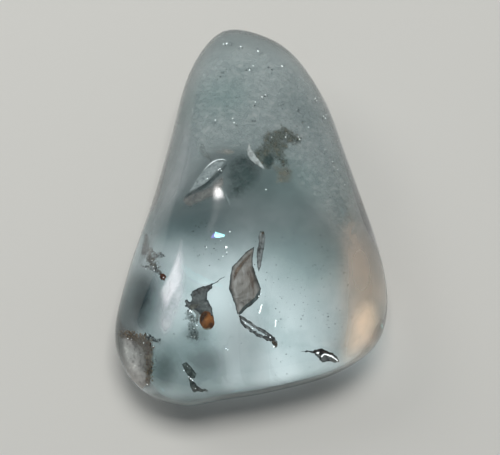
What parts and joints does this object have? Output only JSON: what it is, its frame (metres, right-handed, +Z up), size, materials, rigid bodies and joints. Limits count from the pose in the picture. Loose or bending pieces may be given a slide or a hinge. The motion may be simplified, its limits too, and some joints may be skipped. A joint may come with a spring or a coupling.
{
  "type": "tumbled topaz crystal",
  "caption": "Tumbled pebble of pale blue-grey topaz, a rounded triangle in outline with pits and inner fractures, lying on its flat cleavage underside.",
  "frame": {"origin": "on the table, under the middle of the stone's outline", "axes": "+Z up; +Y along the stone, from its broad end to its narrow end; +X to the right, seen from above with the narrow end away"},
  "size_m": [0.02, 0.028, 0.0106],
  "materials": {
    "topaz": "clear blue-grey natural topaz, worn to a soft gloss, with a hazy pocked narrow end",
    "inclusion": "silvery and grey fracture films and mineral grains inside the stone",
    "iron_stain": "dull amber and rust brown iron staining along inner cracks"
  },
  "bodies": {
    "root": {"topaz_crystal": "topaz"}
  },
  "joints": []
}
